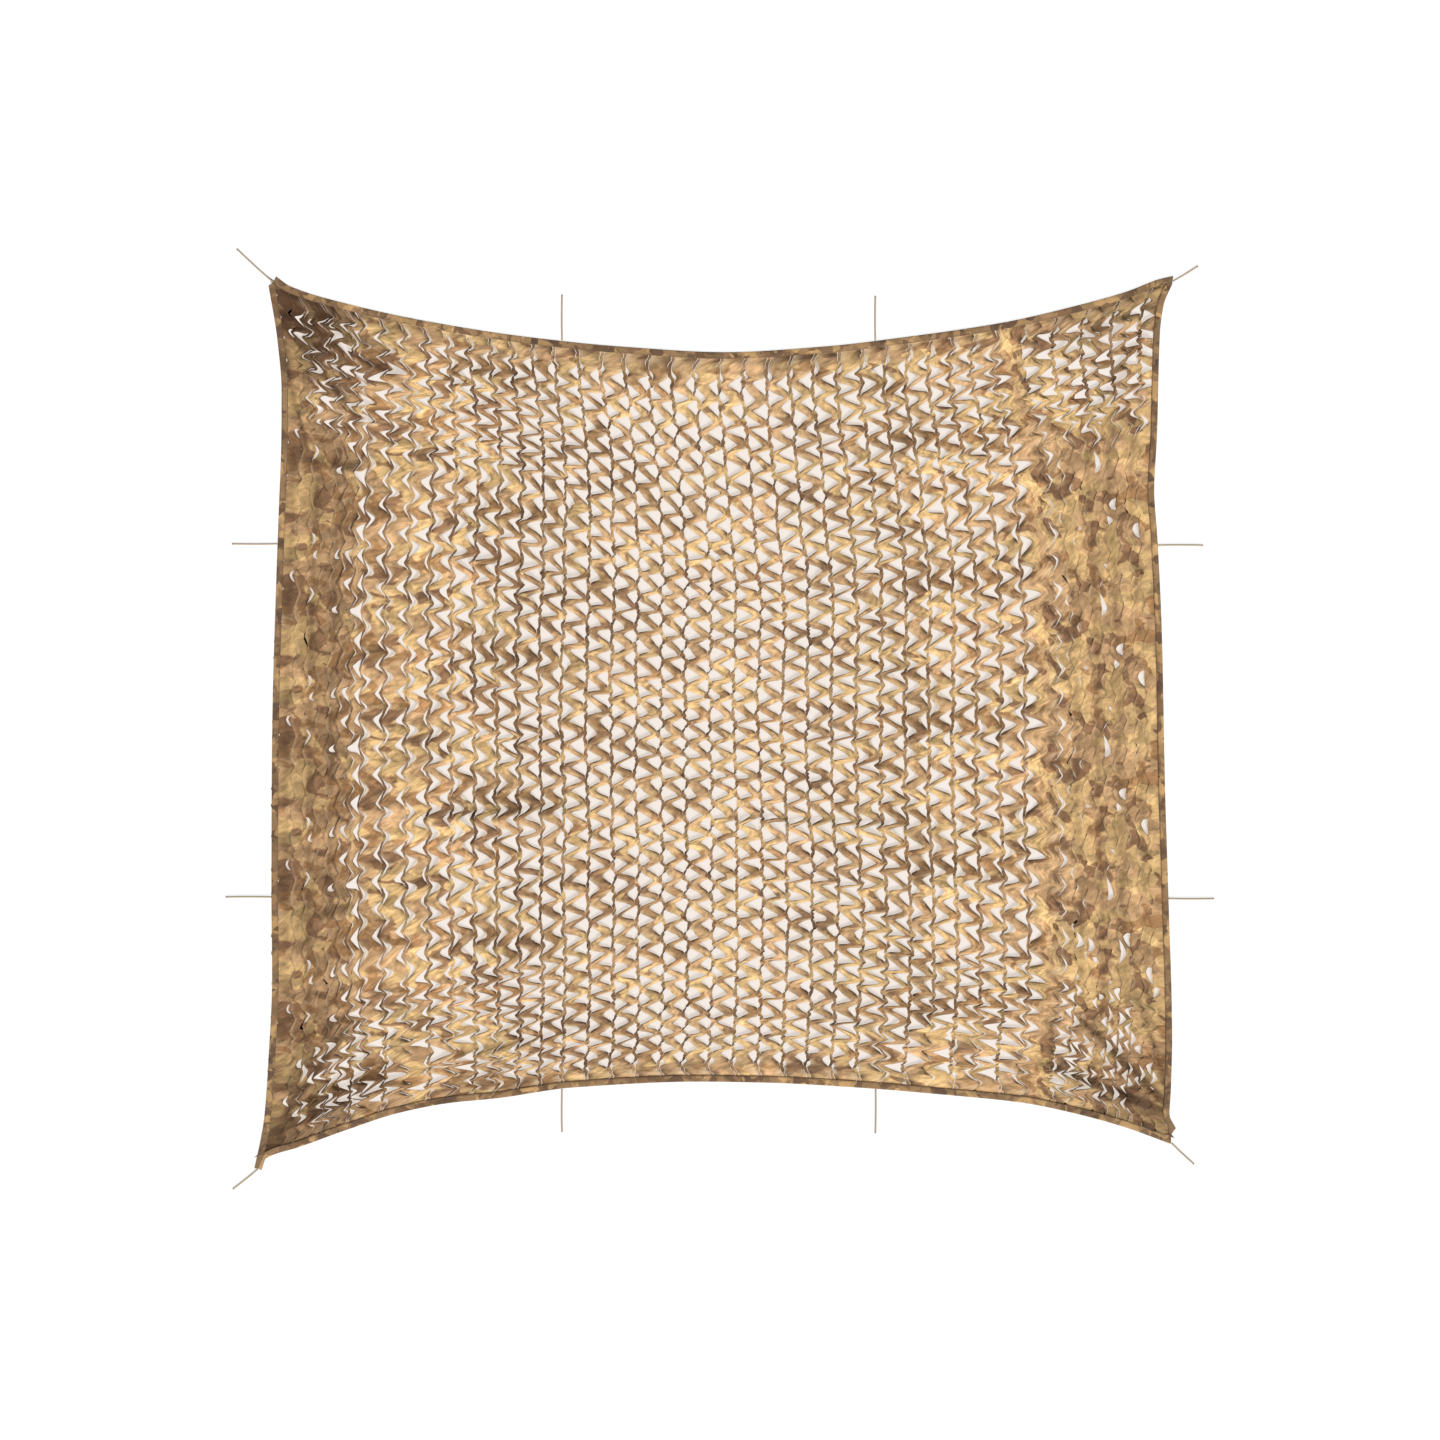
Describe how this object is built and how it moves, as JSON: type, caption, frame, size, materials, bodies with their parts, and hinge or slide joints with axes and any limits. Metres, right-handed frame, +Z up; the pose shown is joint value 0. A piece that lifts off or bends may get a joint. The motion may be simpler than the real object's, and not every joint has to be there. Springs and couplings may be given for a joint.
{
  "type": "camouflage netting",
  "caption": "Square sand-coloured camouflage net of leaf-cut printed cloth with a folded binding, drawn-in edges and short tie cords at its corners and sides.",
  "frame": {"origin": "on the surface the net lies on, under the middle of the bound cloth", "axes": "+X to the right along the top and bottom edges, +Y up the two side edges towards the top edge, +Z up from the surface through the cloth"},
  "size_m": [3.2942, 3.1376, 0.0164],
  "materials": {
    "printed_cloth": "matt woven polyester, printed in sand, tan and brown",
    "binding_cloth": "matt woven polyester, folded and stitched",
    "tie_cord": "matt braided cord"
  },
  "bodies": {
    "root": {"net_panel": "printed_cloth", "binding_top": "binding_cloth", "binding_bottom": "binding_cloth", "binding_left": "binding_cloth", "binding_right": "binding_cloth", "tie_corner_top_left": "tie_cord", "tie_corner_top_right": "tie_cord", "tie_corner_bottom_left": "tie_cord", "tie_corner_bottom_right": "tie_cord", "tie_top_left": "tie_cord", "tie_top_right": "tie_cord", "tie_bottom_left": "tie_cord", "tie_bottom_right": "tie_cord", "tie_left_upper": "tie_cord", "tie_left_lower": "tie_cord", "tie_right_upper": "tie_cord", "tie_right_lower": "tie_cord"}
  },
  "joints": []
}
